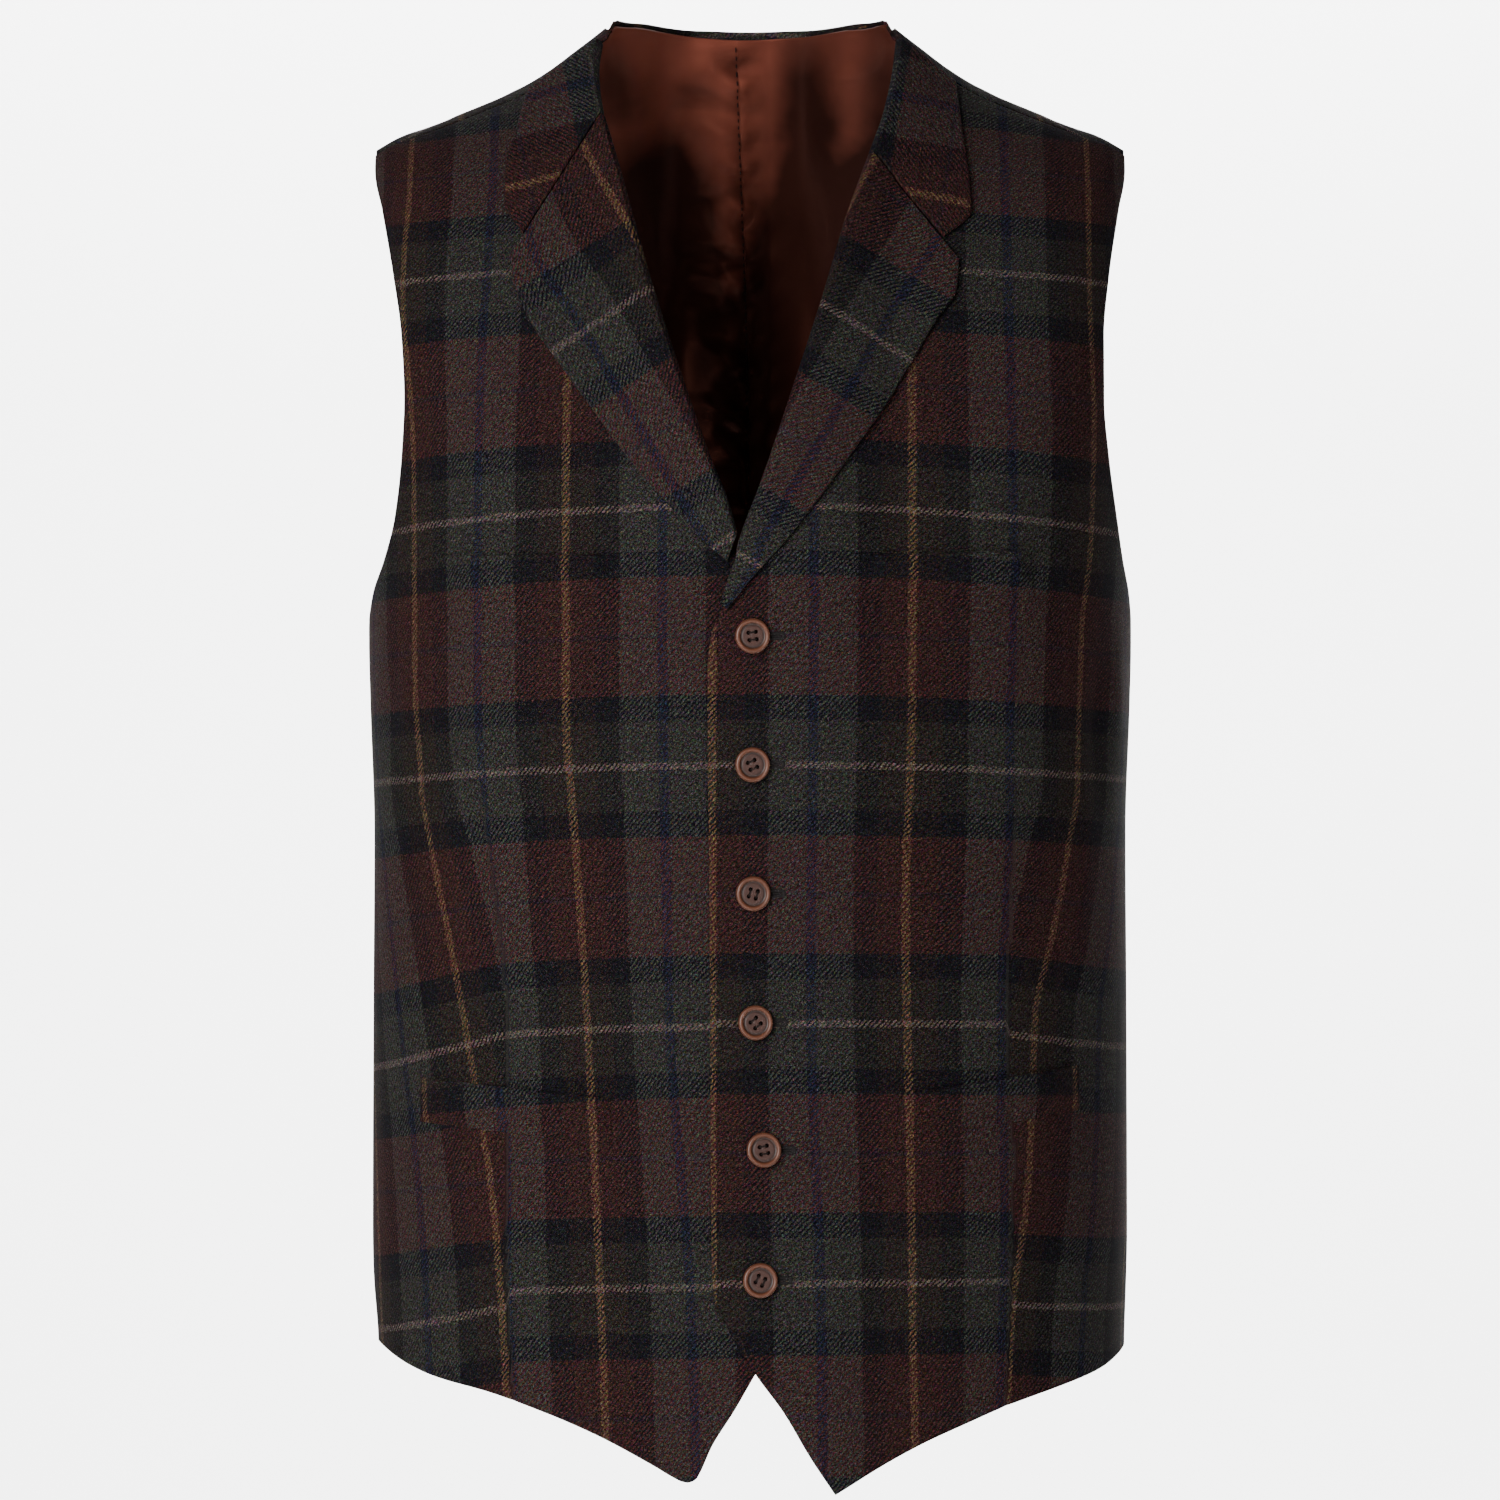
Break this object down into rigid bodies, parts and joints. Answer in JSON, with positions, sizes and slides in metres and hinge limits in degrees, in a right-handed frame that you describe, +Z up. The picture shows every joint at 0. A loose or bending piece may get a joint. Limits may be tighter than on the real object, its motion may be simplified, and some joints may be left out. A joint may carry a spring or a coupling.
{
  "type": "suit waistcoat",
  "caption": "Sleeveless checked tweed suit waistcoat with notch lapels, welt pockets, a buttoned front and a satin back lining, in the hollow form it has when worn.",
  "frame": {"origin": "between the two shoulder seams, in the neck opening, where the wearer's shoulders and neck hold the garment up", "axes": "+Z up, the fronts face -Y, +X towards the wearer's left; the overlap's left front lies on top"},
  "size_m": [0.3378, 0.2387, 0.6457],
  "materials": {
    "tweed": "wool tweed, 2/2 twill, checked",
    "satin": "satin lining, soft sheen",
    "horn": "horn-look, half polished"
  },
  "bodies": {
    "root": {"front_right": "tweed", "front_left": "tweed", "back_right": "tweed", "back_left": "tweed", "back_lining_right": "satin", "back_lining_left": "satin", "lapel_right": "tweed", "lapel_left": "tweed", "collar_right": "tweed", "collar_left": "tweed", "chest_welt_right": "tweed", "chest_welt_left": "tweed", "pocket_welt_right": "tweed", "pocket_welt_left": "tweed", "button_1": "horn", "button_2": "horn", "button_3": "horn", "button_4": "horn", "button_5": "horn", "button_6": "horn"}
  },
  "joints": []
}
